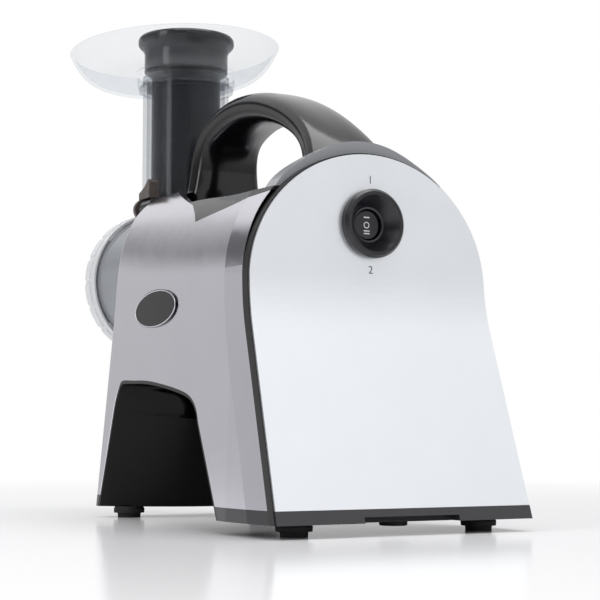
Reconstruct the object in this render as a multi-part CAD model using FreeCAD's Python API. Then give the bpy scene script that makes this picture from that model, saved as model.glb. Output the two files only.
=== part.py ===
import FreeCAD, Part
import math
import os

os.makedirs("parts", exist_ok=True)
V = FreeCAD.Vector

# Body envelope: arch-shaped sections along Y, widest near the rear
spring_z = 145.0
body_top_z = 228.0
band_bottom_z = 7.6
band_top_z = 15.4
front_y = -95.0
widest_y = 150.0
tail_y = 215.0
front_half_width = 63.0
front_flare = 7.0
widest_half = 84.8
widest_flare = 3.7
tail_taper = 0.4
tail_flare = 3.8
front_base_half = front_half_width + front_flare
widest_base_half = widest_half + widest_flare
tail_half = widest_half - tail_taper
tail_base_half = tail_half + tail_flare
front_roundness = 3.2
widest_roundness = 2.1
tail_roundness = 2.0
shell_wall = 2.5
front_round = 5.5
corner_facet = 20.0
corner_inset = 2.2

# Front face leans back from the base to the shoulder
lean_base_y = -84.0
lean_top_y = -57.0

# Rear panel: upright above the bend, flared to the rear below it
panel_y = 165.1
panel_foot_y = 202.9
panel_inset = 3.3
panel_flare = 3.9
panel_half = widest_half - panel_inset
panel_foot_half = panel_half + panel_flare
panel_crest_z = body_top_z - 5.5
panel_sheet = 1.4
panel_bend_radius = 118.0
panel_corner_z = 135.0
gasket_depth = 6.0
gasket_width = 5.0
gasket_lip = 0.9

# Drive line
shaft_z = 170.0
motor_z = 132.0
module_fast = 0.9
module_slow = 1.0
pinion_teeth = 12
wheel_teeth = 60
cluster_teeth = 15
output_teeth = 60

# Drum, chute, tray and pusher
chute_y = -90.0
drum_radius = 50.0
drum_wall = 2.6
drum_front_y = -146.0
drum_rear_y = -56.0
tunnel_radius = 26.0
chute_outer = 31.5
chute_inner = 28.7
chute_top_z = 318.0
cap_radius = 52.0
cap_front_y = -151.0
cap_rear_y = -141.5
pusher_radius = 25.2
tray_centre_y = -111.8
tray_half_length = 93.7
tray_half_width = 74.0
tray_depth = 22.5
tray_wall = 2.2
collar_outer = 35.7
collar_inner = 31.8
collar_bottom_z = chute_top_z - 7.0
collar_top_z = chute_top_z + 4.5
tray_rim_z = collar_top_z + 19.5
pusher_top_z = tray_rim_z + 6.0

# Switch
switch_z = 181.0
bezel_radius = 20.6
bezel_height = 5.5
rocker_radius = 8.3
rocker_pivot_y = panel_y - 10.6


def box(x0, x1, y0, y1, z0, z1):
    return Part.makeBox(x1 - x0, y1 - y0, z1 - z0, V(x0, y0, z0))


def rod(radius, y0, y1, x=0.0, z=shaft_z):
    return Part.makeCylinder(radius, y1 - y0, V(x, y0, z), V(0, 1, 0))


def tube(outer, inner, y0, y1, x=0.0, z=shaft_z):
    return rod(outer, y0, y1, x, z).cut(rod(inner, y0 - 1, y1 + 1, x, z))


def post(radius, z0, z1, x=0.0, y=0.0):
    return Part.makeCylinder(radius, z1 - z0, V(x, y, z0))


def spun(profile, x=0.0, y=0.0, z=0.0, axis=V(0, 0, 1)):
    """Revolve an (r, h) outline about an axis through x, y, z."""
    points = [V(r, 0, h) for r, h in profile]
    face = Part.Face(Part.makePolygon(points + [points[0]]))
    solid = face.revolve(V(0, 0, 0), V(0, 0, 1), 360)
    if axis.y:
        solid.rotate(V(0, 0, 0), V(1, 0, 0), -90 * axis.y)
    solid.translate(V(x, y, z))
    return solid


def wire_of(edges):
    return Part.Wire(edges)


def blade(points, x0, x1):
    """Extrude a (y, z) polygon along X."""
    outline = [V(x0, y, z) for y, z in points]
    return Part.Face(Part.makePolygon(outline + [outline[0]])).extrude(V(x1 - x0, 0, 0))


def fuse(shapes):
    whole = shapes[0].fuse(shapes[1:]) if len(shapes) > 1 else shapes[0]
    return whole.removeSplitter()


def group(shapes):
    return Part.makeCompound(shapes)


def save(name, shape):
    solids = shape.Solids
    shape = solids[0] if len(solids) == 1 else Part.makeCompound(solids)
    shape.exportStep("parts/" + name + ".step")


def blend(y, first, second, third):
    if y < widest_y:
        t = (y - front_y) / (widest_y - front_y)
        return first + (second - first) * t
    t = (y - widest_y) / (tail_y - widest_y)
    return second + (third - second) * t


def arch_section(y, inset=0.0, base_z=band_top_z):
    """Closed arch outline across the body at one station along Y."""
    half = blend(y, front_half_width, widest_half, tail_half) - inset
    foot = blend(y, front_base_half, widest_base_half, tail_base_half) - inset
    power = blend(y, front_roundness, widest_roundness, tail_roundness)
    rise = body_top_z - inset - spring_z
    foot += (foot - half) * (band_top_z - base_z) / (spring_z - band_top_z)
    points = []
    for step in range(25):
        angle = math.pi * step / 24
        c = math.cos(angle)
        s = math.sin(angle)
        across = math.copysign(abs(c) ** (2 / power), c)
        points.append(V(half * across, y, spring_z + rise * abs(s) ** (2 / power)))
    crest = Part.BSplineCurve()
    crest.interpolate(points)
    right = V(half, y, spring_z)
    left = V(-half, y, spring_z)
    right_foot = V(foot, y, base_z)
    left_foot = V(-foot, y, base_z)
    return wire_of([Part.makeLine(right_foot, right), crest.toShape(),
                    Part.makeLine(left, left_foot), Part.makeLine(left_foot, right_foot)])


def arch_loft(inset=0.0, base_z=band_top_z):
    stations = [front_y, widest_y, tail_y]
    return Part.makeLoft([arch_section(y, inset, base_z) for y in stations], True, True)


def lean_y(z):
    t = (z - band_top_z) / (body_top_z - band_top_z)
    return lean_base_y + (lean_top_y - lean_base_y) * t


def panel_line(offset):
    """Side view of the rear face, moved forward by offset, as points from top to bottom."""
    slope = math.atan2(panel_foot_y - panel_y, panel_corner_z - band_top_z)
    reach = panel_bend_radius * math.tan(slope / 2)
    points = [(panel_y - offset, 260.0)]
    centre_y = panel_y + panel_bend_radius
    centre_z = panel_corner_z + reach
    for step in range(9):
        angle = slope * step / 8
        radius = panel_bend_radius + offset
        points.append((centre_y - radius * math.cos(angle), centre_z - radius * math.sin(angle)))
    last_y, last_z = points[-1]
    drop = last_z + 5.0
    points.append((last_y + drop * math.tan(slope), -5.0))
    return points


def behind_line(offset, reach_y=300.0):
    """Everything to the rear of the rear face moved forward by offset."""
    return blade(panel_line(offset) + [(reach_y, -5.0), (reach_y, 260.0)], -120, 120)


def rear_outline(grow, base_z):
    """Prism of the panel outline along Y."""
    half = panel_half + grow
    foot = panel_foot_half + grow
    foot += (foot - half) * (band_top_z - base_z) / (spring_z - band_top_z)
    rise = panel_crest_z + grow - spring_z
    points = []
    for step in range(25):
        angle = math.pi * step / 24
        points.append(V(half * math.cos(angle), 100, spring_z + rise * math.sin(angle)))
    crest = Part.BSplineCurve()
    crest.interpolate(points)
    right_foot = V(foot, 100, base_z)
    left_foot = V(-foot, 100, base_z)
    outline = wire_of([Part.makeLine(right_foot, V(half, 100, spring_z)), crest.toShape(),
                       Part.makeLine(V(-half, 100, spring_z), left_foot),
                       Part.makeLine(left_foot, right_foot)])
    return Part.Face(outline).extrude(V(0, 140, 0))


# Arch tunnel through the base, with a front leg that bulges inward
arch_points = [(-56.3, 73.2), (-53.0, 82.0), (-48.5, 88.6), (-38.0, 91.8), (-7.1, 92.4), (22.8, 90.4),
               (51.4, 87.0), (76.0, 83.1), (89.2, 79.5), (97.0, 74.6), (103.3, 64.6)]
arch_front_foot = (-79.5, -6.0)
arch_rear_foot = (147.1, -6.0)
arch_shift_share = [1.0, 0.9, 0.75, 0.45, 0.12, 0.0, 0.0, 0.0, 0.0, 0.0, 0.0]
arch_middle_shift = 37.0
arch_side_shift = -26.0
arch_side_x = 92.0
liner_wall = 2.2
liner_sink = 0.3


def arch_wire(x, shift, grow):
    line = [(y + shift * share, z - 0.16 * shift * share)
            for (y, z), share in zip(arch_points, arch_shift_share)]
    ends = [(arch_front_foot[0] + shift * 1.1, arch_front_foot[1])] + line + [arch_rear_foot]
    moved = []
    for i, (y, z) in enumerate(ends):
        before = ends[max(i - 1, 0)]
        after = ends[min(i + 1, len(ends) - 1)]
        dy = after[0] - before[0]
        dz = after[1] - before[1]
        size = math.hypot(dy, dz)
        moved.append(V(x, y - grow * dz / size, z + grow * dy / size))
    curve = Part.BSplineCurve()
    curve.interpolate(moved[1:-1])
    return wire_of([Part.makeLine(moved[0], moved[1]), curve.toShape(),
                    Part.makeLine(moved[-2], moved[-1]), Part.makeLine(moved[-1], moved[0])])


def arch_void(grow):
    wires = [arch_wire(-arch_side_x, arch_side_shift, grow), arch_wire(0, arch_middle_shift, grow),
             arch_wire(arch_side_x, arch_side_shift, grow)]
    return Part.makeLoft(wires, True, False)


tunnel = arch_void(-liner_wall)
tunnel_outer = arch_void(0.0)

outer_body = arch_loft(0.0, band_bottom_z)
inner_body = arch_loft(shell_wall, band_bottom_z - 20)
front_cut = blade([(-200, -30), (lean_y(-30), -30), (lean_y(260), 260), (-200, 260)], -120, 120)
inner_front_cut = front_cut.copy()
inner_front_cut.translate(V(0, shell_wall, 0))
body_solid = outer_body.cut(front_cut).cut(behind_line(panel_sheet + gasket_depth))


def middle_of(edge):
    return edge.valueAt((edge.FirstParameter + edge.LastParameter) / 2)


# Round the front edge and turn the rear corner in towards the gasket
front_edges = [e for e in body_solid.Edges
               if abs(middle_of(e).y - lean_y(middle_of(e).z)) < 0.05 and e.BoundBox.ZMax > 20]
body_solid = body_solid.makeFillet(front_round, front_edges)
rear_edges = [e for e in body_solid.Edges
              if e.BoundBox.YMin > panel_y - 12 and e.BoundBox.ZMax > 20
              and (abs(middle_of(e).x) > 1 or middle_of(e).z > 200)]
rear_edges = [e for e in rear_edges if e.BoundBox.ZLength > 1.0 or e.BoundBox.XLength > 1.0]
body_solid = body_solid.makeChamfer(corner_facet, corner_inset, rear_edges)

# Line where the chromed shell gives way to the black top cover
cover_line = [(-200, 274.4), (-35, 226.5), (46.7, 202.8), (59.6, 195.8), (68.9, 188.8), (78.7, 189.8),
              (118.6, 192.9), (137.9, 195.3), (158, 197.3), (200, 200)]
above_cover_line = blade(cover_line + [(200, 300), (-200, 300)], -120, 120)

# Saddle: the crowned floor under the handle
saddle_points = [(-33, 262), (-32, 226), (-24, 216), (-8, 210.8), (20, 208.9), (45, 208.3), (75, 206.5),
                 (105, 204.2), (135, 203.2), (160, 203.2), (161, 262)]
saddle_reach = 95.0
saddle_fall = 6.6


def saddle_wire(x, drop):
    points = [V(x, y, z - drop) for y, z in saddle_points]
    curve = Part.BSplineCurve()
    curve.interpolate(points[1:-1])
    return wire_of([Part.makeLine(points[0], points[1]), curve.toShape(),
                    Part.makeLine(points[-2], points[-1]), Part.makeLine(points[-1], points[0])])


def saddle(drop):
    """Space above the crowned floor under the handle."""
    wires = [saddle_wire(-saddle_reach, drop + saddle_fall), saddle_wire(0, drop),
             saddle_wire(saddle_reach, drop + saddle_fall)]
    return Part.makeLoft(wires, True, False)


# Chromed body shell
hollow = inner_body.cut(inner_front_cut)
socket_outer = 54.5
socket_bore = rod(socket_outer, -120, -20)
chute_way = post(chute_outer + 0.8, 190, 300, 0, chute_y)
chute_way = chute_way.fuse(box(-chute_outer - 0.8, chute_outer + 0.8, -200, chute_y, 190, 300))
shell = body_solid.cut(hollow).cut(above_cover_line)
shell = shell.cut(box(-120, 120, -200, 300, -30, band_top_z)).cut(tunnel_outer)
shell = shell.cut(socket_bore).cut(chute_way)
shell = max(shell.Solids, key=lambda s: s.Volume)
save("body_shell", shell)

# Black top cover with the saddle under the handle
cover_outer = body_solid.common(above_cover_line.fuse(saddle(shell_wall))).cut(saddle(0.0)).cut(shell)
cover_inner = hollow.cut(saddle(shell_wall))
cover = cover_outer.cut(cover_inner)
cover = cover.cut(socket_bore)
cover = max(cover.Solids, key=lambda s: s.Volume)

# Tunnel liner
liner = tunnel_outer.cut(tunnel)
liner_zone = arch_loft(liner_sink, band_bottom_z).cut(front_cut)
liner = liner.common(liner_zone)
save("arch_liner", max(liner.Solids, key=lambda s: s.Volume))

# Base: front and rear plates with upstanding side bands
base = body_solid.common(box(-120, 120, -200, 300, band_bottom_z, band_top_z)).cut(tunnel_outer)
pocket = arch_loft(4.0, band_bottom_z - 20).cut(behind_line(panel_sheet + gasket_depth + 4.0))
pocket_front = front_cut.copy()
pocket_front.translate(V(0, 4.0, 0))
pocket = pocket.cut(pocket_front).common(box(-120, 120, -200, 300, band_bottom_z + 3.0, 30))
pocket = pocket.cut(arch_void(4.0))
base = base.cut(pocket)
base_parts = sorted(base.Solids, key=lambda s: s.CenterOfMass.y)
base_front = base_parts[0]
base_rear = base_parts[-1]

front_foot_x = front_base_half - 17.0
rear_foot_x = panel_foot_half - 22.6
front_foot_y = -66.0
rear_foot_y = panel_foot_y - 19.9
feet_positions = [(-front_foot_x, front_foot_y), (front_foot_x, front_foot_y),
                  (-rear_foot_x, rear_foot_y), (rear_foot_x, rear_foot_y)]
feet = []
screws = []
for x, y in feet_positions:
    foot = spun([(2.4, 0.8), (7.0, 0.8), (7.0, 0), (7.8, 0), (8.0, 3.0), (10.4, 3.2), (10.6, 5.8), (9.6, 7.6),
                 (1.6, 7.6), (1.6, 3.4), (2.4, 3.4)], x, y)
    foot = foot.fuse(post(3.4, 7.5, 10.6, x, y).cut(post(1.6, 7, 11.5, x, y)))
    feet.append(foot.removeSplitter())
    screws.append(fuse([post(1.6, 2.0, 13.5, x, y), post(2.2, 0.9, 3.4, x, y)]))
    hole = post(3.4, 5, 12, x, y)
    base_front = base_front.cut(hole)
    base_rear = base_rear.cut(hole)
gland_x = -4.0
gland_y = 181.0
base_rear = base_rear.cut(post(6.0, 5, 13, gland_x, gland_y))
board_posts = [(-31, 144), (31, 144), (-31, 176), (31, 176)]
base_rear = fuse([base_rear] + [post(2.6, band_bottom_z + 2.9, 22, x, y) for x, y in board_posts])
save("base_front", base_front)
save("base_rear", base_rear)
save("foot", group(feet))
save("foot_screw", group(screws))
gland = spun([(3.2, 4.6), (7.6, 4.6), (8.2, 5.2), (8.2, 7.6), (6.0, 7.6), (6.0, 10.6), (6.7, 10.6), (6.7, 13.2),
              (3.2, 13.2)], gland_x, gland_y)
save("cord_gland", gland)

# Circuit board on the base posts
board = box(-36, 36, 139, 181, 22, 23.6)
on_board = [box(-28, -10, 146, 160, 23.6, 32), post(5, 23.6, 40, 6, 152), post(5, 23.6, 40, 19, 152),
            box(-26, 26, 166, 174, 23.6, 34)]
save("control_board", fuse([board] + on_board))

# Rear panel, gasket and sill
sheet_zone = behind_line(panel_sheet).cut(behind_line(0.0))
panel = rear_outline(0.0, band_top_z).common(sheet_zone).cut(rod(17.6, 120, 200, 0, switch_z))
save("rear_panel", panel)
gasket_zone = behind_line(panel_sheet + gasket_depth).cut(behind_line(panel_sheet))
gasket = rear_outline(gasket_lip, band_bottom_z).common(gasket_zone)
gasket = gasket.cut(rear_outline(-gasket_width, -20))
save("rear_gasket", gasket)
sill = rear_outline(0.2, band_bottom_z).common(sheet_zone)
sill = sill.common(box(-120, 120, 100, 300, band_bottom_z, band_top_z))
sill_rib = rear_outline(-gasket_width, band_bottom_z).common(gasket_zone)
sill_rib = sill_rib.common(box(-120, 120, 100, 300, band_bottom_z, band_top_z))
notch_depth = 3.4
notch = box(-34, 30, 190, 230, 0, band_bottom_z + notch_depth)
save("rear_sill", sill.fuse(sill_rib).cut(notch).removeSplitter())

# Grey crown strip that closes the top behind the panel crest
crown_back_y = panel_y - panel_sheet - gasket_depth
crown_thick = 13.0
crown_heights = [(62, 198.0), (56, 207.0), (50, 212.2), (40, 218.6), (28, 225.0), (14, 230.0), (0, 231.6)]
crown_foot_z = 190.0
crown_y = crown_back_y - crown_thick
crown_points = [V(-x, crown_y, z) for x, z in crown_heights] + [V(x, crown_y, z) for x, z in crown_heights[-2::-1]]
crown_curve = Part.BSplineCurve()
crown_curve.interpolate(crown_points)
low_right = V(crown_heights[0][0], crown_y, crown_foot_z)
low_left = V(-crown_heights[0][0], crown_y, crown_foot_z)
crown_face = Part.Face(wire_of([crown_curve.toShape(), Part.makeLine(crown_points[-1], low_right),
                                Part.makeLine(low_right, low_left), Part.makeLine(low_left, crown_points[0])]))
body_below = body_solid.cut(saddle(0.0))
crown = crown_face.extrude(V(0, crown_thick, 0)).cut(body_below)
crown = max(crown.Solids, key=lambda s: s.Volume)

# Handle: stations of centre y, centre z, half depth, half width, heading in degrees
handle_stations = [(-31.0, 206.0, 15.0, 29.0, 97), (-29.8, 222.0, 13.6, 26.5, 95),
                   (-27.5, 239.0, 12.4, 24.0, 86), (-21.0, 257.4, 12.0, 22.6, 58),
                   (-4.0, 267.4, 11.4, 22.0, 28), (20.0, 272.3, 10.9, 21.5, 6), (48.0, 270.8, 10.4, 21.2, -10),
                   (77.0, 263.0, 9.6, 21.2, -23), (103.0, 251.0, 9.0, 21.8, -33), (121.0, 238.8, 9.0, 24.0, -43),
                   (134.0, 225.0, 10.0, 28.0, -56), (141.0, 211.0, 11.0, 32.0, -69), (144.0, 198.0, 12.0, 35.0, -80)]


def handle_section(y, z, deep, wide, heading):
    turn = math.radians(heading)
    points = []
    for step in range(20):
        angle = 2 * math.pi * step / 20
        c = math.cos(angle)
        s = math.sin(angle)
        across = wide * math.copysign(abs(c) ** 0.7, c)
        up = deep * math.copysign(abs(s) ** 0.7, s)
        points.append(V(across, y - up * math.sin(turn), z + up * math.cos(turn)))
    loop = Part.BSplineCurve()
    loop.interpolate(points, PeriodicFlag=True)
    return wire_of([loop.toShape()])


handle = Part.makeLoft([handle_section(*station) for station in handle_stations], True, False)
seam_drop = 0.2
seam_points = [V(-60, y + seam_drop * deep * math.sin(math.radians(h)),
                 z - seam_drop * deep * math.cos(math.radians(h)))
               for y, z, deep, wide, h in handle_stations[2:11]]
seam_curve = Part.BSplineCurve()
seam_curve.interpolate(seam_points)
seam_face = Part.Face(wire_of([seam_curve.toShape(), Part.makeLine(seam_points[-1], seam_points[0])]))
below_seam = seam_face.extrude(V(120, 0, 0)).common(box(-60, 60, -60, 128, 226, 300))
handle_top = handle.cut(below_seam).cut(body_below).cut(crown).cut(shell)
grip = handle.common(below_seam).cut(body_below).cut(shell)

# Handle screws, up through the cover into both feet
screw_spots = [(-24.0, 213.0, 231.0), (139.0, 200.4, 218.0)]
handle_screws = []
for y, seat, tip in screw_spots:
    cover = cover.cut(post(2.0, 190, tip, 0, y))
    handle_top = handle_top.cut(post(2.0, 190, tip, 0, y))
    handle_screws.append(fuse([post(2.0, seat - 1, tip, 0, y), post(4.0, seat - 3.4, seat, 0, y)]).cut(cover))
save("top_cover", cover)
save("crown_trim", crown)
save("handle_top", max(handle_top.Solids, key=lambda s: s.Volume))
save("handle_grip", max(grip.Solids, key=lambda s: s.Volume))
save("handle_screw", group([max(s.Solids, key=lambda q: q.Volume) for s in handle_screws]))

# Switch: bezel, body with terminals, rocker
can_front_y = panel_y - 8.3
can_length = 21.8
bezel_tail = can_front_y - panel_y
bezel = spun([(9.5, bezel_tail), (15.0, bezel_tail), (15.0, -3.6), (17.4, -2.6), (17.4, 0.0),
              (bezel_radius, 0.0), (bezel_radius, 3.6), (bezel_radius - 1.6, bezel_height),
              (17.0, bezel_height), (10.6, -3.2), (9.5, -3.6)],
             0, panel_y, switch_z, V(0, 1, 0))
save("switch_bezel", bezel)
can_back_y = can_front_y - can_length
switch_can = box(-13.5, 13.5, can_back_y, can_front_y, switch_z - 13.5, switch_z + 13.5)
switch_can = switch_can.cut(box(-11.4, 11.4, can_back_y + 10, can_front_y + 7, switch_z - 11.4, switch_z + 11.4))
switch_can = switch_can.cut(Part.makeCylinder(1.5, 26, V(-13, rocker_pivot_y, switch_z), V(1, 0, 0)))
tabs = []
for row in (-8, 0, 8):
    for col in (-6, 6):
        tabs.append(box(col - 0.4, col + 0.4, can_back_y - 6.5, can_back_y + 0.5,
                        switch_z + row - 2.4, switch_z + row + 2.4))
save("switch_body", fuse([switch_can] + tabs))
rocker = rod(rocker_radius, rocker_pivot_y - 1.5, rocker_pivot_y + 6.0, 0, switch_z)
rocker = rocker.cut(Part.makeCylinder(60, 40, V(-20, rocker_pivot_y + 65.0, switch_z), V(1, 0, 0)))
rocker = rocker.fuse(Part.makeCylinder(3.0, 16, V(-8, rocker_pivot_y, switch_z), V(1, 0, 0)))
rocker = rocker.fuse(Part.makeCylinder(1.45, 25.2, V(-12.6, rocker_pivot_y, switch_z), V(1, 0, 0)))
save("rocker", rocker.removeSplitter())

# Oval side badges, bare
badge_y = 21.6
badge_z = 137.6
badge_half_length = 38.6
badge_half_height = 12.2
badge_proud = 1.1
badges = []
for side in (-1, 1):
    slope_in = math.degrees(math.atan2(widest_half - front_half_width, widest_y - front_y))
    half = blend(badge_y, front_half_width, widest_half, tail_half)
    foot_half = blend(badge_y, front_base_half, widest_base_half, tail_base_half)
    side_x = foot_half + (half - foot_half) * (badge_z - band_top_z) / (spring_z - band_top_z)
    tip_in = math.degrees(math.atan2(foot_half - half, spring_z - band_top_z))
    oval = Part.Ellipse(V(0, 0, 0), badge_half_length, badge_half_height).toShape()
    plate = Part.Face(Part.Wire([oval])).extrude(V(0, 0, badge_proud + 1.0))
    plate.rotate(V(0, 0, 0), V(0, 1, 0), 90)
    plate.rotate(V(0, 0, 0), V(1, 0, 0), 90)
    plate.rotate(V(0, 0, 0), V(0, 1, 0), -tip_in)
    plate.rotate(V(0, 0, 0), V(0, 0, 1), -slope_in)
    plate.translate(V(side_x - 1.0, badge_y, badge_z))
    if side < 0:
        plate = plate.mirror(V(0, 0, 0), V(1, 0, 0))
    badges.append(max(plate.cut(shell).Solids, key=lambda s: s.CenterOfMass.x * side))
save("side_badge", group(badges))


# Gears
def gear(teeth, module, y0, y1, x, z, phase, backlash=0.12):
    """Involute spur wheel along Y, with one tooth centred on the phase direction."""
    pitch_r = teeth * module / 2
    base_r = pitch_r * math.cos(math.radians(20))
    tip_r = pitch_r + module * 0.95
    root_r = pitch_r - module * 1.25
    half_thick = math.pi / (2 * teeth) - backlash / (2 * pitch_r)
    inv_pitch = math.tan(math.radians(20)) - math.radians(20)
    start_r = max(base_r, root_r)
    flank = []
    for step in range(5):
        radius = start_r + (tip_r - start_r) * step / 4
        roll = math.sqrt(max((radius / base_r) ** 2 - 1, 0))
        flank.append((radius, half_thick + inv_pitch - roll + math.atan(roll)))
    side = [(root_r, flank[0][1] * 1.05)] + flank
    points = []
    for tooth in range(teeth):
        centre = phase + 2 * math.pi * tooth / teeth
        for radius, half in side:
            points.append((radius, centre - half))
        for radius, half in reversed(side):
            points.append((radius, centre + half))
    outline = [V(x + r * math.cos(a), y0, z + r * math.sin(a)) for r, a in points]
    return Part.Face(Part.makePolygon(outline + [outline[0]])).extrude(V(0, y1 - y0, 0))


fast_centres = module_fast * (pinion_teeth + wheel_teeth) / 2
slow_centres = module_slow * (cluster_teeth + output_teeth) / 2
rise = shaft_z - motor_z
lift = (rise * rise + fast_centres ** 2 - slow_centres ** 2) / (2 * rise)
cluster_z = motor_z + lift
cluster_x = math.sqrt(fast_centres ** 2 - lift ** 2)
toward_motor = math.atan2(motor_z - cluster_z, -cluster_x)
toward_output = math.atan2(shaft_z - cluster_z, -cluster_x)

# Positions along the drive line
slow_y0 = 0.0
slow_y1 = 14.0
fast_y0 = 20.0
fast_y1 = 30.0
case_front_y = -22.0
case_split_y = 36.0
cover_back_y = 40.0
motor_front_y = 58.0
stator_y0 = 74.0
stator_y1 = 110.0

# Motor rotor with shaft and pinion
pinion = gear(pinion_teeth, module_fast, fast_y0 - 1, fast_y1 + 4, 0, motor_z,
              toward_motor + math.pi + math.pi / pinion_teeth)
rotor = fuse([rod(4.0, 31, 142, 0, motor_z), rod(26.0, 72, 112, 0, motor_z), pinion,
              rod(3.0, 16, 22, 0, motor_z)])
save("motor_rotor", rotor)
fan_parts = [tube(9, 4.0, 130, 140, 0, motor_z), tube(31, 8, 130, 131.6, 0, motor_z)]
for step in range(9):
    vane = box(7, 30, 131.0, 138.5, -0.8, 0.8)
    vane.rotate(V(0, 0, 0), V(0, 1, 0), step * 40)
    vane.translate(V(0, 0, motor_z))
    fan_parts.append(vane)
save("cooling_fan", fuse(fan_parts))

# Stator, windings, end bells and the adapter to the gearbox
stator = box(-38, 38, stator_y0, stator_y1, motor_z - 38, motor_z + 38)
stator = stator.common(rod(46, stator_y0, stator_y1, 0, motor_z)).cut(rod(26.6, 70, 114, 0, motor_z))
slots = []
for step in range(12):
    slot = box(25.5, 34, 70, 114, -2.2, 2.2)
    slot.rotate(V(0, 0, 0), V(0, 1, 0), step * 30)
    slot.translate(V(0, 0, motor_z))
    slots.append(slot)
save("stator_core", stator.cut(fuse(slots)))
winding = [Part.makeTorus(31.0, 4.6, V(0, y, motor_z), V(0, 1, 0)) for y in (stator_y0 - 4.6, stator_y1 + 4.6)]
save("stator_winding", group(winding))
bell_radius = 38.0
bells = []
for y0, y1, lip0, lip1 in ((58, 61, 60, stator_y0), (124, 127, stator_y1, 125)):
    plate = tube(bell_radius, 9.5, y0, y1, 0, motor_z)
    rim = tube(bell_radius, 36.2, lip0, lip1, 0, motor_z)
    hub = tube(12.5, 9.5, min(y0, y1 - 6), max(y1, y0 + 6), 0, motor_z)
    bells.append(fuse([plate, rim, hub]))
save("motor_end_bell", group(bells))
adapter = fuse([tube(23, 19, cover_back_y, motor_front_y, 0, motor_z),
                tube(34, 19, motor_front_y - 2.5, motor_front_y, 0, motor_z)])
save("motor_adapter", adapter)


# Output shaft with drive socket, output wheel and cluster gear
def hexagon(flat, y0, y1):
    radius = flat / math.cos(math.pi / 6)
    outline = [V(radius * math.cos(math.pi * k / 3), y0, shaft_z + radius * math.sin(math.pi * k / 3))
               for k in range(6)]
    return Part.Face(Part.makePolygon(outline + [outline[0]])).extrude(V(0, y1 - y0, 0))


hex_flat = 6.0
shaft_radius = 9.0
tail_radius = 7.0
running_gap = 0.04
output_wheel = gear(output_teeth, module_slow, slow_y0, slow_y1, 0, shaft_z,
                    toward_output + math.pi + math.pi / output_teeth)
output_wheel = output_wheel.cut(tube(26, 15, slow_y0 - 1, slow_y0 + 4))
output_wheel = output_wheel.cut(tube(26, 15, slow_y1 - 4, slow_y1 + 1)).cut(rod(shaft_radius, -5, 20))
save("output_wheel", output_wheel)
output_shaft = fuse([rod(shaft_radius, -44, slow_y1), rod(11.5, slow_y1, 17.0), rod(tail_radius, 16, 37)])
save("output_shaft", output_shaft.cut(hexagon(hex_flat + 0.2, -60, -18)))
wheel = gear(wheel_teeth, module_fast, fast_y0, fast_y1, cluster_x, cluster_z, toward_motor)
wheel = wheel.cut(tube(22.5, 10, fast_y0 - 1, fast_y0 + 3, cluster_x, cluster_z))
wheel = wheel.cut(tube(22.5, 10, fast_y1 - 3, fast_y1 + 1, cluster_x, cluster_z))
cluster_pinion = gear(cluster_teeth, module_slow, slow_y0 - 0.5, fast_y0, cluster_x, cluster_z, toward_output)
pin_radius = 4.0
cluster = fuse([wheel, cluster_pinion, rod(10, fast_y0 - 1, fast_y1, cluster_x, cluster_z)])
save("cluster_gear", cluster.cut(rod(pin_radius + running_gap, -40, 60, cluster_x, cluster_z)))
save("cluster_pin", rod(pin_radius, -14, 38, cluster_x, cluster_z))

# Gearbox case, cover and bolts
lobes = [(0.0, shaft_z, 35.0), (cluster_x, cluster_z, 31.8), (0.0, motor_z, 24.0)]
case_wall = 2.4
ear_spots = [(-33.0, 189.5), (-34.5, 152.5), (27.5, 196.5), (61.5, 160.0), (53.5, 121.5), (-8.0, 105.5)]


def lobe_block(trim, y0, y1):
    return fuse([rod(radius - trim, y0, y1, x, z) for x, z, radius in lobes])


case = lobe_block(0, case_front_y, case_split_y)
ears = [rod(5.0, case_split_y - 10, case_split_y, x, z) for x, z in ear_spots]
case = fuse([case] + ears).cut(lobe_block(case_wall, case_front_y + 3.5, case_split_y + 1))
case = fuse([case, rod(19.5, -38, case_front_y + 0.5), rod(7.5, case_front_y, -5.5, cluster_x, cluster_z)])
case = case.cut(rod(12.6, -60, case_front_y + 10)).cut(rod(pin_radius, -14, 60, cluster_x, cluster_z))
cover_plate = fuse([lobe_block(0, case_split_y, cover_back_y), rod(11.5, 32.6, case_split_y + 1)] +
                   [rod(5.0, case_split_y, cover_back_y, x, z) for x, z in ear_spots])
cover_plate = cover_plate.cut(rod(tail_radius + running_gap, 20, 38)).cut(rod(9.0, 20, 60, 0, motor_z))
cover_plate = cover_plate.cut(rod(pin_radius, 20, 38, cluster_x, cluster_z))
bolts = []
for x, z in ear_spots:
    hole = rod(1.6, 27, cover_back_y + 1, x, z)
    case = case.cut(hole)
    cover_plate = cover_plate.cut(hole)
    bolts.append(fuse([rod(1.6, 27, cover_back_y + 1, x, z), rod(3.0, cover_back_y, cover_back_y + 2.4, x, z)]))
save("gearbox_case", case.removeSplitter())
save("gearbox_cover", cover_plate.removeSplitter())
save("gearbox_bolt", group(bolts))

# Bearings, shaft seal, run capacitor and its strap
save("bearing", group([tube(12.6, shaft_radius + running_gap, -36, -24),
                       tube(9.5, 4.0 + running_gap, 58, 64, 0, motor_z),
                       tube(9.5, 4.0 + running_gap, 121, 127, 0, motor_z)]))
save("shaft_seal", fuse([tube(12.6, shaft_radius + running_gap, -40, -36), tube(19.0, 9.3, -40, -38)]))
cap_x = -56.0
cap_z = 103.0
save("run_capacitor", fuse([rod(12, 62, 108, cap_x, cap_z), rod(9, 107, 110, cap_x, cap_z)]))
strap = fuse([tube(13.4, 12.0, 80, 94, cap_x, cap_z), box(-45, -38, 80, 94, 98, 110)])
save("capacitor_strap", strap.cut(rod(12, 60, 110, cap_x, cap_z)))

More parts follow.
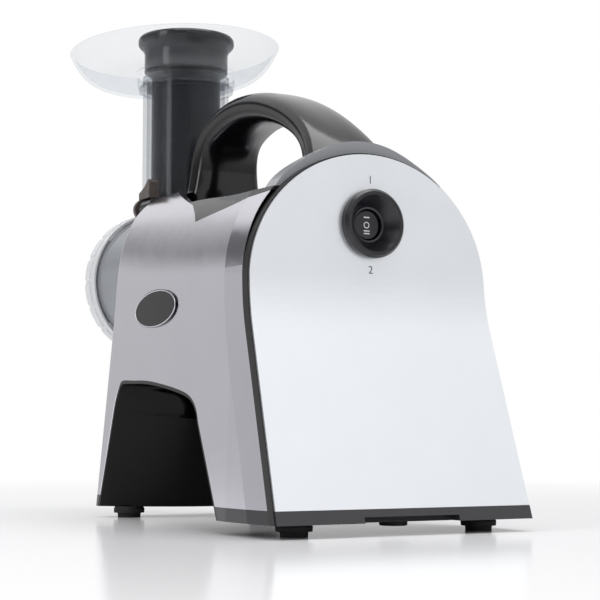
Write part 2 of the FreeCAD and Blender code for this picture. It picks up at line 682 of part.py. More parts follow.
# Locking clip: a cam with a flat beside the chute, its lever over the ear, and its lug on the drum
clip_reach = 60.0
clip_turn = math.radians(50.2)
clip_x = clip_reach * math.cos(clip_turn)
clip_z = shaft_z + clip_reach * math.sin(clip_turn)
clip_y0 = -78.8
clip_y1 = -75.6
lug_y0 = -75.3
lug_y1 = -72.3
lug_radius = 54.8
clip_radius = 8.0
clip_flat = 3.8
toward_axis = math.atan2(shaft_z - clip_z, -clip_x)

# Drum socket in the body front, with an ear for the clip
socket_front_y = -72.0
socket_back_y = -47.0
socket_bore_radius = 51.4
nose_radius = 19.5
socket = fuse([tube(socket_outer, socket_bore_radius, socket_front_y, socket_back_y),
               tube(socket_outer, 12.8, socket_back_y - 3, socket_back_y),
               tube(24.0, nose_radius, socket_back_y - 1, -30)])
socket = socket.cut(chute_way)
ear = rod(6.4, socket_front_y, -56, clip_x, clip_z)
socket = fuse([socket, ear]).cut(shell).cut(rod(1.8, -100, -60, clip_x, clip_z))
socket = max(socket.Solids, key=lambda s: s.Volume)
save("drum_socket", socket)
cam = rod(clip_radius, clip_y0, clip_y1, clip_x, clip_z)
flat = box(clip_flat, 20, clip_y0 - 1, clip_y1 + 1, -20, 20)
flat.rotate(V(0, 0, 0), V(0, 1, 0), -math.degrees(toward_axis))
flat.translate(V(clip_x, 0, clip_z))
cam = cam.cut(flat)
ear_radius = 6.4
lever_foot_z = clip_z + ear_radius + 1.0
lever = [(clip_y0, clip_z), (clip_y0, clip_z + 12.0), (-70.0, clip_z + 15.5), (-63.4, clip_z + 20.5),
         (-61.2, clip_z + 18.5), (-61.2, lever_foot_z), (clip_y1, lever_foot_z), (clip_y1, clip_z)]
tab = blade(lever, clip_x - 3.6, clip_x + 3.6)
spacer = rod(4.0, clip_y1 - 0.5, socket_front_y - 0.1, clip_x, clip_z)
clip = fuse([cam, tab, spacer]).cut(rod(1.85, -100, -60, clip_x, clip_z))
save("lock_clip", clip)
clip_screw = fuse([rod(1.8, clip_y0 - 0.5, -61, clip_x, clip_z), rod(3.4, clip_y0 - 2.2, clip_y0 - 0.1, clip_x, clip_z)])
save("clip_screw", clip_screw)

# Drum with screw tunnel, chute and juice outlet
tunnel_front_y = -122.0
spout_y = -120.4
cup = rod(drum_radius, drum_front_y, drum_rear_y)
cup = cup.cut(rod(drum_radius - drum_wall, drum_front_y - 1, drum_rear_y - 3))
flange = tube(socket_bore_radius - 0.35, drum_radius - 0.5, socket_front_y + 1, drum_rear_y)
tunnel_tube = tube(tunnel_radius + 2.2, tunnel_radius, tunnel_front_y, drum_rear_y - 1)
neck = post(chute_outer, shaft_z, shaft_z + 60, 0, chute_y).common(rod(drum_radius, drum_front_y, drum_rear_y))
neck = neck.cut(rod(tunnel_radius + 1.0, -200, 0))
chute_bore = post(chute_inner, shaft_z, chute_top_z + 12, 0, chute_y)
spout_bore = post(9.8, 90, shaft_z - 30, 0, spout_y)
drum = fuse([cup, flange, tunnel_tube, neck]).cut(chute_bore).cut(spout_bore)
drum = drum.cut(rod(tunnel_radius, -200, drum_rear_y - 3)).cut(rod(9.6, -100, -40))
lugs = []
lug_turns = [45, 135, 225, 315]
for turn in lug_turns:
    lug = tube(51.3, 49.5, -139.6, -137.2).common(box(44, 56, -140, -130, shaft_z - 7, shaft_z + 7))
    lug.rotate(V(0, 0, shaft_z), V(0, 1, 0), turn)
    lugs.append(lug)
clip_lug = tube(lug_radius, 49.5, lug_y0, lug_y1).common(box(44, 60, -80, -70, shaft_z - 6, shaft_z + 6))
clip_lug.rotate(V(0, 0, shaft_z), V(0, 1, 0), -math.degrees(clip_turn))
drum = fuse([drum, clip_lug] + lugs)
save("drum", drum)
rim_z = collar_bottom_z - 0.3
chute_tube = post(chute_outer, shaft_z + 30, chute_top_z, 0, chute_y)
chute_tube = chute_tube.fuse(post(34.6, rim_z - 3, rim_z, 0, chute_y))
chute_tube = chute_tube.cut(rod(drum_radius, -200, 0)).cut(chute_bore).cut(drum)
save("drum_chute", max(chute_tube.Solids, key=lambda s: s.Volume).removeSplitter())
spout = post(12.4, 98, 140, 0, spout_y).cut(rod(drum_radius, -200, 0)).cut(spout_bore)
save("juice_spout", max(spout.Solids, key=lambda s: s.Volume))
save("drum_seal", fuse([tube(26.0, 9.9, drum_rear_y, socket_back_y - 3), tube(26.0, 20.0, drum_rear_y, -50.2)]))

# Juicing screen
screen_inner = 24.4
screen_wall = 0.8
screen = fuse([tube(screen_inner + screen_wall, screen_inner, -146.4, -123.4),
               tube(tunnel_radius + 1.6, screen_inner, -124.4, tunnel_front_y - 0.1),
               tube(46.5, screen_inner, -147.4, -146.2)])
mesh = []
for ring in range(4):
    for step in range(24):
        hole = box(23, 27, -144.0 + ring * 4.6, -141.4 + ring * 4.6, -0.5, 0.5)
        hole.rotate(V(0, 0, 0), V(0, 1, 0), step * 15 + 7.5 * (ring % 2))
        hole.translate(V(0, 0, shaft_z))
        mesh.append(hole)
save("juicing_screen", screen.cut(group(mesh)))


# Auger with a rising screw flight and a steel drive end
def screw_flight(radius, pitch, y0, y1, core, thick):
    turns = (y1 - y0) / pitch
    steps = int(turns * 12)
    sections = []
    for step in range(steps + 1):
        t = step / steps
        angle = 2 * math.pi * turns * t
        y = y0 + (y1 - y0) * t
        c = math.cos(angle)
        s = math.sin(angle)
        corner = [(core, -thick), (radius, -thick * 0.45), (radius, thick * 0.45), (core, thick)]
        points = [V(r * c, y + dy, shaft_z + r * s) for r, dy in corner]
        sections.append(Part.makePolygon(points + [points[0]]))
    return Part.makeLoft(sections, True, True)


auger_radius = 24.0
drive_flat = 5.0
auger_core = spun([(0, -147.0), (8, -147.0), (16.5, -140), (19.8, -128), (13.0, -104), (11.5, -69), (9.2, -64),
                   (9.2, -49), (0, -49)], 0, 0, shaft_z, V(0, 1, 0))
flight = screw_flight(auger_radius, 26.0, -141.0, -70.0, 10.0, 3.0)
auger = auger_core.fuse(flight).common(rod(auger_radius, -160, -40)).removeSplitter()
auger = auger.cut(hexagon(drive_flat, -60, -40))
save("auger", max(auger.Solids, key=lambda s: s.Volume))
save("auger_drive", fuse([hexagon(hex_flat - 0.15, -49, -24), hexagon(drive_flat, -60, -48.5)]))

# End ring that holds the drum front, turned a few degrees to lock under the drum lugs
ring_skirt_y = -133.6
ring = fuse([tube(cap_radius + 1.2, 51.65, cap_front_y, cap_rear_y),
             tube(cap_radius + 0.9, 51.65, cap_rear_y - 0.5, ring_skirt_y),
             tube(cap_radius + 1.2, 13.3, cap_front_y, cap_front_y + 3.0)])
grips = []
for step in range(18):
    notch_cut = rod(2.6, cap_front_y - 1, cap_rear_y + 0.5, cap_radius + 2.9, 0)
    notch_cut.rotate(V(0, 0, 0), V(0, 1, 0), step * 20)
    notch_cut.translate(V(0, 0, shaft_z))
    grips.append(notch_cut)
ring = ring.cut(group(grips))
hooks = []
for turn in lug_turns:
    hook = tube(51.9, 50.35, -136.9, ring_skirt_y).common(box(44, 56, -140, -130, shaft_z - 7, shaft_z + 7))
    hook.rotate(V(0, 0, shaft_z), V(0, 1, 0), turn)
    hooks.append(hook)
nose_tube = tube(15.8, 13.3, -168, cap_front_y + 1)
save("end_ring", fuse([ring, nose_tube] + hooks))

# Nozzle dial that throttles the pulp outlet
dial = fuse([tube(20.0, 15.86, -172, -154.5), tube(20.0, 6.5, -174.5, -171.5)])
dial_grips = []
for step in range(12):
    flute = rod(1.8, -176, -158, 21.0, 0)
    flute.rotate(V(0, 0, 0), V(0, 1, 0), step * 30)
    flute.translate(V(0, 0, shaft_z))
    dial_grips.append(flute)
dial = dial.cut(group(dial_grips)).fuse(box(-1.0, 1.0, -175.0, -174.4, shaft_z + 11, shaft_z + 17))
save("nozzle_dial", dial.removeSplitter())
save("nozzle_seal", fuse([tube(13.3, 8.6, -156, -148.0), tube(16.0, 8.6, -148.0, -147.4)]))

# Hopper tray: shallow oval dish with a collar over the chute, as shares of depth and of rim size
dish_levels = [(0.0, 0.57), (0.05, 0.745), (0.12, 0.80), (0.25, 0.854), (0.45, 0.908), (0.7, 0.956), (1.0, 1.0)]
tray_floor_z = tray_rim_z - tray_depth


def dish(shrink, floor_lift, rim_lift):
    rings = []
    for depth_share, size_share in dish_levels:
        level = tray_floor_z + tray_depth * depth_share
        length = tray_half_length * size_share
        width = tray_half_width * size_share
        level += rim_lift if depth_share == 1.0 else floor_lift * (1.0 - depth_share)
        centre = V(0, tray_centre_y, level)
        oval = Part.Ellipse(centre + V(0, length - shrink, 0), centre + V(width - shrink, 0, 0), centre)
        rings.append(Part.Wire([oval.toShape()]))
    return Part.makeLoft(rings, True, False)


tray = dish(0.0, 0.0, 0.0).cut(dish(tray_wall, tray_wall, 0.6))
tray = tray.fuse(post(collar_outer, collar_bottom_z, collar_top_z, 0, chute_y))
tray = tray.cut(post(collar_inner, collar_bottom_z - 20, chute_top_z + 0.4, 0, chute_y))
tray = tray.cut(post(chute_inner, collar_bottom_z - 20, collar_top_z + 10, 0, chute_y))
save("hopper_tray", tray.removeSplitter())

# Pusher
pusher_foot_z = 206.0
pusher_outside = [(28.0, 0.0), (30.6, 0.0), (30.6, 13.1), (31.6, 15.9), (33.6, 17.9), (35.0, 19.7),
                  (35.3, 21.5), (35.1, 23.9), (34.0, 25.5)]
pusher_inside = [(26.0, 0.0), (23.5, 3.0), (21.5, 18.0)]
pusher_profile = [(0, pusher_foot_z), (27.9, pusher_foot_z), (28.2, pusher_foot_z + 2),
                  (28.2, pusher_foot_z + 8), (pusher_radius, pusher_foot_z + 11),
                  (pusher_radius, chute_top_z), (28.0, chute_top_z + 2)]
pusher_profile += [(radius, collar_top_z + rise) for radius, rise in pusher_outside]
pusher_profile += [(radius, pusher_top_z - depth) for radius, depth in pusher_inside]
pusher_profile += [(21.5, pusher_foot_z + 6), (0, pusher_foot_z + 4)]
pusher = spun(pusher_profile, 0, chute_y)
save("pusher", pusher)
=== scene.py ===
import math

import bmesh
import bpy
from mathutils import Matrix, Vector


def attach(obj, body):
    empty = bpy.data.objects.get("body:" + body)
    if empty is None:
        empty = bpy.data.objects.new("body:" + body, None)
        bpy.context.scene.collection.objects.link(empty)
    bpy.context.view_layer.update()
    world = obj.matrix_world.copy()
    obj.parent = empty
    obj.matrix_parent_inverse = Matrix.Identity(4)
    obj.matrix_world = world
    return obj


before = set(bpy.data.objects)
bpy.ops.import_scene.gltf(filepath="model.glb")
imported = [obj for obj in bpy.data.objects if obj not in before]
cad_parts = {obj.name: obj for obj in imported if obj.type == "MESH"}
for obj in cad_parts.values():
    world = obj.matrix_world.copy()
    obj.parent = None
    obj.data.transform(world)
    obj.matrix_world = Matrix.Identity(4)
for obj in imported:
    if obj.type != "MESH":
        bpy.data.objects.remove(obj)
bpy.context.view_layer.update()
scene = bpy.context.scene

# Body shell: a moulded arch plated in silver chrome, screwed to the motor frame from inside. The plating is
# a mirror with the faint waviness of the moulding under it, and a film of handling smears.


def linear(text):
    """sRGB hex to the linear colour the shaders take."""
    channels = [int(text[i:i + 2], 16) / 255 for i in (1, 3, 5)]
    return [c / 12.92 if c <= 0.04045 else ((c + 0.055) / 1.055) ** 2.4 for c in channels] + [1.0]


def add(tree, kind, inputs=None, **settings):
    node = tree.nodes.new(kind)
    for key, value in settings.items():
        setattr(node, key, value)
    for key, value in (inputs or {}).items():
        if isinstance(value, bpy.types.NodeSocket):
            tree.links.new(value, node.inputs[key])
        else:
            node.inputs[key].default_value = value
    return node


def surface(name, colour, rough, grain_mm, grain, stretch=(1, 1, 1), metallic=0.0, smear=0.05, vary=0.04,
            bands_mm=0.0, band_axis="Y", band_dark=0.5, **shader):
    """Finish with a fine grain, a broad drift of tone and smears, and if asked for, bands of one pitch."""
    mat = bpy.data.materials.new(name)
    mat.use_nodes = True
    tree = mat.node_tree
    tree.nodes.clear()
    where = add(tree, "ShaderNodeTexCoord").outputs["Object"]
    drawn = add(tree, "ShaderNodeMapping", {"Vector": where, "Scale": stretch}).outputs[0]
    fine = add(tree, "ShaderNodeTexNoise", {"Vector": drawn, "Scale": 1000 / grain_mm, "Detail": 2.0})
    broad = add(tree, "ShaderNodeTexNoise", {"Vector": where, "Scale": 22.0, "Detail": 4.0, "Roughness": 0.6})
    drift = add(tree, "ShaderNodeMapRange", {0: broad.outputs["Fac"], 1: 0.3, 2: 0.7,
                                             3: 1 - vary, 4: 1 + vary})
    tint = add(tree, "ShaderNodeMix", {"Factor": 1.0, 6: linear(colour)}, data_type="RGBA",
               blend_type="MULTIPLY")
    tree.links.new(drift.outputs[0], tint.inputs[7])
    height = fine.outputs["Fac"]
    shade = tint.outputs[2]
    if bands_mm:
        wave = add(tree, "ShaderNodeTexWave", {"Vector": where, "Scale": 1000 / bands_mm / 3.1831},
                   bands_direction=band_axis)
        height = wave.outputs["Fac"]
        dark = add(tree, "ShaderNodeMapRange", {0: wave.outputs["Fac"], 1: 0.0, 2: 0.5, 3: band_dark, 4: 1.0})
        striped = add(tree, "ShaderNodeMix", {"Factor": 1.0, 6: shade}, data_type="RGBA",
                      blend_type="MULTIPLY")
        tree.links.new(dark.outputs[0], striped.inputs[7])
        shade = striped.outputs[2]
    wear = add(tree, "ShaderNodeMapRange", {0: broad.outputs["Fac"], 1: 0.35, 2: 0.75, 3: rough,
                                            4: min(rough + smear, 1.0)})
    bump = add(tree, "ShaderNodeBump", {"Strength": grain, "Distance": 0.0002, "Height": height})
    bsdf = add(tree, "ShaderNodeBsdfPrincipled", {"Base Color": shade, "Metallic": metallic,
                                                  "Roughness": wear.outputs[0], "Normal": bump.outputs[0],
                                                  **shader})
    add(tree, "ShaderNodeOutputMaterial", {"Surface": bsdf.outputs[0]})
    return mat


def dress(mat, *names):
    for name in names:
        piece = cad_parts[name]
        piece.data.materials.clear()
        piece.data.materials.append(mat)
        piece.data.shade_smooth()
        piece.data.set_sharp_from_angle(angle=math.radians(32))


dress(surface("silver_chrome_plating", "#D2D0D8", 0.15, 9.0, 0.03, metallic=1.0, smear=0.05, vary=0.02),
      "body_shell")

# Rear panel: one bent sheet in satin silver, clipped into a black rubber gasket frame. The satin blasting
# scatters highlights into the soft bright band seen across the bend.
dress(surface("satin_silver_panel", "#E4E7EB", 0.30, 0.35, 0.05, metallic=0.75, smear=0.06, vary=0.015),
      "rear_panel")
dress(surface("black_frame_gasket", "#0D0D0F", 0.42, 0.5, 0.12), "rear_gasket")

# Figures beside the switch: dark grey print on the panel, a plain number above the bezel and one below it.


def new_piece(name, mesh, mat, body):
    obj = bpy.data.objects.new(name, mesh)
    scene.collection.objects.link(obj)
    obj.data.materials.clear()
    obj.data.materials.append(mat)
    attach(obj, body)


def figure_mesh(text, height_mm):
    """Flat figure, centred, standing in the XZ plane and read from +Y."""
    curve = bpy.data.curves.new("figure", "FONT")
    curve.body = text
    carrier = bpy.data.objects.new("figure", curve)
    scene.collection.objects.link(carrier)
    bpy.context.view_layer.update()
    mesh = bpy.data.meshes.new_from_object(carrier.evaluated_get(bpy.context.evaluated_depsgraph_get()))
    bpy.data.objects.remove(carrier)
    xs = [v.co.x for v in mesh.vertices]
    ys = [v.co.y for v in mesh.vertices]
    scale = height_mm / 1000 / (max(ys) - min(ys))
    middle = Vector(((max(xs) + min(xs)) / 2, (max(ys) + min(ys)) / 2))
    for v in mesh.vertices:
        v.co = Vector(((middle.x - v.co.x) * scale, 0.0, (v.co.y - middle.y) * scale))
    return mesh


cast_from_y = 0.25
print_lift = 0.00006


def lay_on(node, mesh, place):
    """Moves the flat mesh to its place and lets it down along -Y onto the node's surface."""
    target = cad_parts[node]
    back = target.matrix_world.inverted()
    turn = back.to_3x3()
    for v in mesh.vertices:
        spot = v.co + Vector(place)
        start = back @ Vector((spot.x, cast_from_y, spot.z))
        hit, at, normal, index = target.ray_cast(start, turn @ Vector((0, -1, 0)))
        if hit:
            spot.y = (target.matrix_world @ at).y + print_lift
        v.co = spot


ink = surface("grey_panel_print", "#4A4B50", 0.45, 0.2, 0.05)
switch_z = 0.181
figure_height_mm = 4.6
figure_x = 0.0007
for text, z in (("1", switch_z + 0.0265), ("2", switch_z - 0.0273)):
    figure = figure_mesh(text, figure_height_mm)
    lay_on("rear_panel", figure, (figure_x, 0.0, z))
    new_piece("print_" + text, figure, ink, "housing")

# Switch: a turned black bezel with a conical recess snapped into the panel, and a round rocker that rests in
# its middle position, with three white printed marks for its positions.
dress(surface("satin_black_bezel", "#17161B", 0.24, 0.4, 0.06), "switch_bezel")
dress(surface("satin_black_rocker", "#1A1A20", 0.32, 0.3, 0.06), "rocker")
dress(surface("black_switch_body", "#151517", 0.5, 0.5, 0.1), "switch_body")


def strip_mesh(points, width):
    """Flat ribbon of one width along points in the XZ plane."""
    mesh = bpy.data.meshes.new("strip")
    bm = bmesh.new()
    rows = []
    for i, (x, z) in enumerate(points):
        before = points[max(i - 1, 0)]
        after = points[min(i + 1, len(points) - 1)]
        along = Vector((after[0] - before[0], after[1] - before[1])).normalized()
        side = Vector((-along.y, along.x)) * width / 2
        rows.append([bm.verts.new((x + side.x, 0, z + side.y)), bm.verts.new((x - side.x, 0, z - side.y))])
    for first, second in zip(rows, rows[1:]):
        bm.faces.new((first[0], first[1], second[1], second[0]))
    bm.to_mesh(mesh)
    bm.free()
    return mesh


mark_paint = surface("white_mark_paint", "#E9E9EC", 0.4, 0.2, 0.04)
rocker_centre = (0.0, 0.0, switch_z)
bar_half_mm = 2
bar_steps = 8
bar_rows_mm = {"mark_one": [4.6], "mark_two": [-3.5, -5.1]}
for name, rows in bar_rows_mm.items():
    for k, z in enumerate(rows):
        xs = [-bar_half_mm + 2 * bar_half_mm * i / bar_steps for i in range(bar_steps + 1)]
        bar = strip_mesh([(x / 1000, z / 1000) for x in xs], 0.0007)
        lay_on("rocker", bar, rocker_centre)
        new_piece(name + "_" + str(k), bar, mark_paint, "rocker")
ring_radius = 0.0017
ring_turns = [math.radians(9 * i) for i in range(41)]
off_mark = strip_mesh([(ring_radius * math.cos(t), ring_radius * math.sin(t)) for t in ring_turns], 0.00055)
lay_on("rocker", off_mark, rocker_centre)
new_piece("mark_off", off_mark, mark_paint, "rocker")

# Base band: dark grey gloss mouldings at the foot of the shell, front and rear, and the notched sill under
# the panel; the rubber feet are stepped discs held by screws.
dress(surface("dark_grey_band", "#2E2E31", 0.2, 0.8, 0.05), "base_front", "base_rear", "rear_sill")
dress(surface("black_foot_rubber", "#101011", 0.7, 0.4, 0.25), "foot", "cord_gland")
dress(surface("zinc_screw_steel", "#A6A8AD", 0.3, 0.3, 0.1, metallic=1.0), "foot_screw", "handle_screw",
      "clip_screw", "gearbox_bolt")

# Arch liner: polished black moulding that closes the space through the body.
dress(surface("polished_black_liner", "#050506", 0.09, 5.0, 0.02, **{"Specular IOR Level": 0.16}),
      "arch_liner")

# Side badges: oval black enamel plates with a thin bright rim, left bare.
dress(surface("black_badge_enamel", "#08080A", 0.08, 3.0, 0.02, **{"Specular IOR Level": 0.12}),
      "side_badge")
rim_metal = surface("bright_badge_rim", "#D8D9DE", 0.18, 0.4, 0.05, metallic=1.0)
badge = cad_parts["side_badge"]
badge_y = 0.0216
badge_z = 0.1376
rim_half_length = 0.0379
rim_half_height = 0.0115
rim_wire_radius = 0.00035
rim_points = 96
for side in (1, -1):
    path = []
    back = badge.matrix_world.inverted()
    for i in range(rim_points):
        turn = math.tau * i / rim_points
        start = Vector((0.2 * side, badge_y + rim_half_length * math.cos(turn),
                        badge_z + rim_half_height * math.sin(turn)))
        hit, at, normal, index = badge.ray_cast(back @ start, back.to_3x3() @ Vector((-side, 0, 0)))
        if hit:
            path.append(badge.matrix_world @ at)
    rim = bpy.data.curves.new("badge_rim", "CURVE")
    rim.dimensions = "3D"
    rim.bevel_depth = rim_wire_radius
    rim.bevel_resolution = 2
    line = rim.splines.new("POLY")
    line.points.add(len(path) - 1)
    for point, spot in zip(line.points, path):
        point.co = (*spot, 1.0)
    line.use_cyclic_u = True
    new_piece("badge_rim_" + ("right" if side > 0 else "left"), rim, rim_metal, "housing")

# Top cover and handle: polished black mouldings. The handle is an upper shell and a lower grip that meet at a
# seam, screwed down at both feet; the grey crown strip closes the top behind the panel.
dress(surface("polished_black_cover", "#0A0A0C", 0.12, 6.0, 0.02, **{"Specular IOR Level": 0.35}),
      "top_cover")
dress(surface("polished_black_handle", "#111114", 0.13, 6.0, 0.02), "handle_top")
dress(surface("satin_black_grip", "#0B0B0E", 0.2, 0.5, 0.08, **{"Specular IOR Level": 0.35}),
      "handle_grip")
dress(surface("grey_gloss_crown", "#8E9094", 0.18, 1.2, 0.03), "crown_trim")

# Motor: stacked laminations with enamelled copper windings between die cast end bells, a steel rotor and a
# moulded fan, with its run capacitor strapped beside it and the circuit board below.
dress(surface("stacked_laminations", "#7E7F84", 0.45, 0.4, 0.3, metallic=0.8, bands_mm=0.8, band_dark=0.45),
      "stator_core")
dress(surface("enamelled_copper_wire", "#B0622E", 0.3, 0.4, 0.5, metallic=0.7, bands_mm=0.9, band_axis="X",
              band_dark=0.4), "stator_winding")
dress(surface("die_cast_alloy", "#9C9DA1", 0.5, 0.7, 0.3, metallic=0.9), "motor_end_bell", "motor_adapter")
dress(surface("ground_rotor_steel", "#8D8E92", 0.32, 0.3, 0.15, (1, 0.05, 1), metallic=1.0), "motor_rotor")
dress(surface("moulded_fan_plastic", "#2F3033", 0.5, 0.5, 0.1), "cooling_fan")
dress(surface("drawn_capacitor_can", "#A3A4A8", 0.35, 0.3, 0.1, (1, 0.1, 1), metallic=0.9), "run_capacitor")
dress(surface("zinc_strap", "#B0B2B5", 0.35, 0.4, 0.1, metallic=1.0), "capacitor_strap")
dress(surface("coated_board", "#1F5A38", 0.4, 1.0, 0.1, bands_mm=2.5, band_axis="X", band_dark=0.75),
      "control_board")

# Gear train: nylon wheels on ground steel shafts in a glass filled case with steel bearings and a lip seal.
dress(surface("natural_nylon", "#D9D4C4", 0.42, 0.6, 0.08), "cluster_gear", "output_wheel")
dress(surface("ground_shaft_steel", "#A9AAAE", 0.25, 0.3, 0.12, (1, 0.05, 1), metallic=1.0), "output_shaft",
      "cluster_pin", "auger_drive")
dress(surface("glass_filled_case", "#3B3C40", 0.55, 0.9, 0.25), "gearbox_case", "gearbox_cover")
dress(surface("polished_bearing_steel", "#B9BABD", 0.18, 0.3, 0.05, metallic=1.0), "bearing")
dress(surface("grey_silicone", "#8E9093", 0.5, 0.4, 0.1), "shaft_seal", "drum_seal", "nozzle_seal")

# Drum socket and clip: a dark grey ring in the body front takes the drum, and a brown grey cam clip at the
# foot of the chute turns over the lug of the drum to lock it.
dress(surface("dark_grey_socket", "#26262A", 0.22, 0.8, 0.04), "drum_socket")
dress(surface("brown_grey_clip", "#4A4340", 0.25, 0.8, 0.05), "lock_clip")

# Drum, chute and spout: one clear moulding in the real machine. The walls hardly show face on and turn grey
# at their edges, as clear plastic does; a dark screw and a slotted steel screen stand inside.


def clear_plastic(name, colour, rough, facing, edge, grain_mm=4.0):
    """Clear moulding: see-through face on, brighter and greyer towards its edges, with flow marks."""
    mat = bpy.data.materials.new(name)
    mat.use_nodes = True
    tree = mat.node_tree
    tree.nodes.clear()
    where = add(tree, "ShaderNodeTexCoord").outputs["Object"]
    flow = add(tree, "ShaderNodeTexNoise", {"Vector": where, "Scale": 1000 / grain_mm, "Detail": 2.0})
    bump = add(tree, "ShaderNodeBump", {"Strength": 0.03, "Distance": 0.0002, "Height": flow.outputs["Fac"]})
    skin = add(tree, "ShaderNodeBsdfPrincipled", {"Base Color": linear(colour), "Roughness": rough,
                                                  "Normal": bump.outputs[0], "IOR": 1.5})
    through = add(tree, "ShaderNodeBsdfTransparent", {"Color": linear("#F8F9FA")})
    weight = add(tree, "ShaderNodeLayerWeight", {"Blend": 0.35})
    share = add(tree, "ShaderNodeMapRange", {0: weight.outputs["Facing"], 1: 0.0, 2: 1.0, 3: facing, 4: edge})
    mixed = add(tree, "ShaderNodeMixShader", {0: share.outputs[0], 1: through.outputs[0], 2: skin.outputs[0]})
    add(tree, "ShaderNodeOutputMaterial", {"Surface": mixed.outputs[0]})
    return mat


dress(clear_plastic("clear_drum_moulding", "#A9ACB1", 0.06, 0.25, 0.75), "drum", "juice_spout")
dress(clear_plastic("clear_chute_moulding", "#7C7E84", 0.05, 0.03, 0.35), "drum_chute")
dress(surface("etched_screen_steel", "#B2B4B8", 0.28, 0.3, 0.2, metallic=1.0), "juicing_screen")
dress(surface("dark_screw_plastic", "#222226", 0.32, 1.0, 0.08), "auger")

# End ring and nozzle: a frosted ring with grip notches screws onto the drum, with a black dial in its middle.
dress(clear_plastic("frosted_ring_moulding", "#DADBDD", 0.35, 0.6, 0.92, 0.8), "end_ring")
dress(surface("satin_black_dial", "#141416", 0.3, 0.6, 0.06), "nozzle_dial")

# Hopper tray: a thin clear oval dish with a collar over the chute.
dress(clear_plastic("clear_tray_moulding", "#D6D8DA", 0.04, 0.015, 0.2), "hopper_tray")

# Pusher: a hollow polished black moulding with a rolled flange that rests on the collar.
dress(surface("polished_black_pusher", "#08090E", 0.10, 5.0, 0.02, **{"Specular IOR Level": 0.3}),
      "pusher")

# Floor and backdrop: a pale plain sheet that keeps the shadow near the object and fades to white far out.
floor_mesh = bpy.data.meshes.new("floor")
reach = 9
corners = [(-reach, -reach, 0), (reach, -reach, 0), (reach, reach, 0), (-reach, reach, 0)]
floor_mesh.from_pydata(corners, [], [(0, 1, 2, 3)])
floor = bpy.data.objects.new("floor", floor_mesh)
scene.collection.objects.link(floor)
floor_mat = bpy.data.materials.new("pale_gloss_floor")
floor_mat.use_nodes = True
tree = floor_mat.node_tree
tree.nodes.clear()
lit = add(tree, "ShaderNodeBsdfPrincipled", {"Base Color": linear("#F1F1F3"), "Roughness": 0.14, "IOR": 1.2})
where = add(tree, "ShaderNodeTexCoord").outputs["Object"]
far = add(tree, "ShaderNodeVectorMath", {0: where}, operation="LENGTH")
fade = add(tree, "ShaderNodeMapRange", {0: far.outputs["Value"], 1: 0.25, 2: 1.1, 3: 0.0, 4: 1.0},
           interpolation_type="SMOOTHSTEP")
path = add(tree, "ShaderNodeLightPath")
seen = add(tree, "ShaderNodeMath", {0: path.outputs["Is Camera Ray"], 1: path.outputs["Is Transmission Ray"]},
           operation="MAXIMUM")
share = add(tree, "ShaderNodeMath", {0: seen.outputs[0], 1: fade.outputs[0]}, operation="MULTIPLY")
white = add(tree, "ShaderNodeEmission", {"Color": (1, 1, 1, 1), "Strength": 1.0})
both = add(tree, "ShaderNodeMixShader", {0: share.outputs[0], 1: lit.outputs[0], 2: white.outputs[0]})
add(tree, "ShaderNodeOutputMaterial", {"Surface": both.outputs[0]})
floor_mesh.materials.append(floor_mat)

# Studio light: white to the camera, for everything else a tent that is brighter overhead with a dark card on
# the near side, and two softboxes.
world = bpy.data.worlds.new("studio")
scene.world = world
world.use_nodes = True
tree = world.node_tree
tree.nodes.clear()
ray = add(tree, "ShaderNodeTexCoord").outputs["Generated"]
split = add(tree, "ShaderNodeSeparateXYZ", {0: ray})
rise = add(tree, "ShaderNodeMapRange", {0: split.outputs["Z"], 1: 0.0, 2: 0.8, 3: 0.42, 4: 0.95},
           interpolation_type="SMOOTHSTEP")
behind = add(tree, "ShaderNodeMapRange", {0: split.outputs["Y"], 1: 0.2, 2: 0.9, 3: 0.0, 4: 0.40},
             interpolation_type="SMOOTHSTEP")
ahead = add(tree, "ShaderNodeMapRange", {0: split.outputs["Y"], 1: -0.3, 2: -0.95, 3: 0.0, 4: 0.22},
            interpolation_type="SMOOTHSTEP")
ends = add(tree, "ShaderNodeMath", {0: ahead.outputs[0], 1: behind.outputs[0]}, operation="ADD")
glow = add(tree, "ShaderNodeMath", {0: rise.outputs[0], 1: ends.outputs[0]}, operation="ADD")
card_low = add(tree, "ShaderNodeMapRange", {0: split.outputs["Z"], 1: 0.16, 2: 0.24, 3: 0.0, 4: 1.0})
card_high = add(tree, "ShaderNodeMapRange", {0: split.outputs["Z"], 1: 0.40, 2: 0.48, 3: 1.0, 4: 0.0})
card_side = add(tree, "ShaderNodeMapRange", {0: split.outputs["X"], 1: 0.05, 2: 0.3, 3: 0.0, 4: 0.8})
card = add(tree, "ShaderNodeMath", {0: card_low.outputs[0], 1: card_high.outputs[0]}, operation="MULTIPLY")
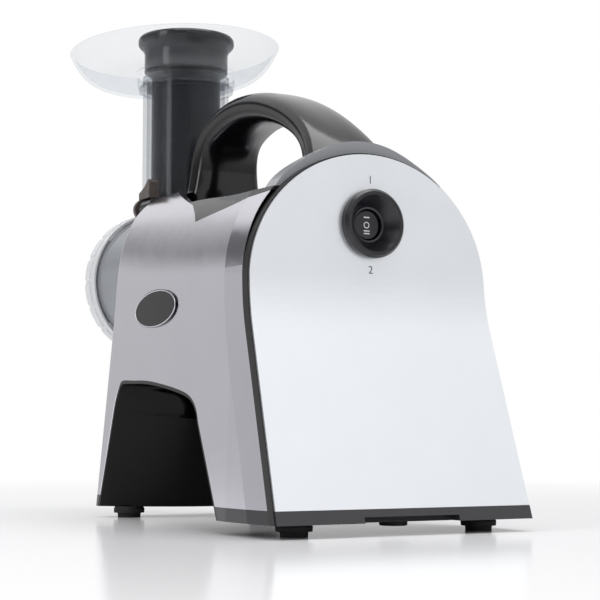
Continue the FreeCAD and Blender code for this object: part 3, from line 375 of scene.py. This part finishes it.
card = add(tree, "ShaderNodeMath", {0: card.outputs[0], 1: card_side.outputs[0]}, operation="MULTIPLY")
kept = add(tree, "ShaderNodeMath", {0: 1.0, 1: card.outputs[0]}, operation="SUBTRACT")
tent = add(tree, "ShaderNodeMath", {0: glow.outputs[0], 1: kept.outputs[0]}, operation="MULTIPLY")
soft = add(tree, "ShaderNodeBackground", {"Color": (1.0, 1.0, 1.0, 1.0), "Strength": tent.outputs[0]})
seen_white = add(tree, "ShaderNodeBackground", {"Color": (1, 1, 1, 1), "Strength": 1.0})
path = add(tree, "ShaderNodeLightPath")
direct = add(tree, "ShaderNodeMath", {0: path.outputs["Is Camera Ray"],
                                      1: path.outputs["Is Transmission Ray"]}, operation="MAXIMUM")
mixed = add(tree, "ShaderNodeMixShader", {0: direct.outputs[0], 1: soft.outputs[0], 2: seen_white.outputs[0]})
add(tree, "ShaderNodeOutputWorld", {"Surface": mixed.outputs[0]})


def lamp(name, place, aim, size, power):
    data = bpy.data.lights.new(name, "AREA")
    data.shape = "RECTANGLE"
    data.size, data.size_y = size
    data.energy = power
    obj = bpy.data.objects.new(name, data)
    scene.collection.objects.link(obj)
    obj.location = place
    obj.rotation_euler = (Vector(aim) - Vector(place)).to_track_quat("-Z", "Y").to_euler()
    return obj


side_box = lamp("side_softbox", (1.5, 0.1, 0.9), (0, 0.0, 0.2), (0.5, 1.4), 9)
top_box = lamp("top_softbox", (-0.2, 0.2, 1.7), (0, 0.05, 0.2), (1.0, 1.4), 14)

# Camera: at bench height behind the machine, with the rear panel towards it.
camera_data = bpy.data.cameras.new("camera")
camera = bpy.data.objects.new("camera", camera_data)
scene.collection.objects.link(camera)
yaw = math.radians(29.7)
pitch = math.radians(4.85)
look = Vector((-math.sin(yaw) * math.cos(pitch), -math.cos(yaw) * math.cos(pitch), math.sin(pitch)))
camera.location = (0.503, 0.9615, 0.056)
camera.rotation_euler = look.to_track_quat("-Z", "Y").to_euler()
camera_data.sensor_width = 36.0
camera_data.lens = 96.0
camera_data.clip_start = 0.01
scene.camera = camera
scene.view_settings.view_transform = "Standard"
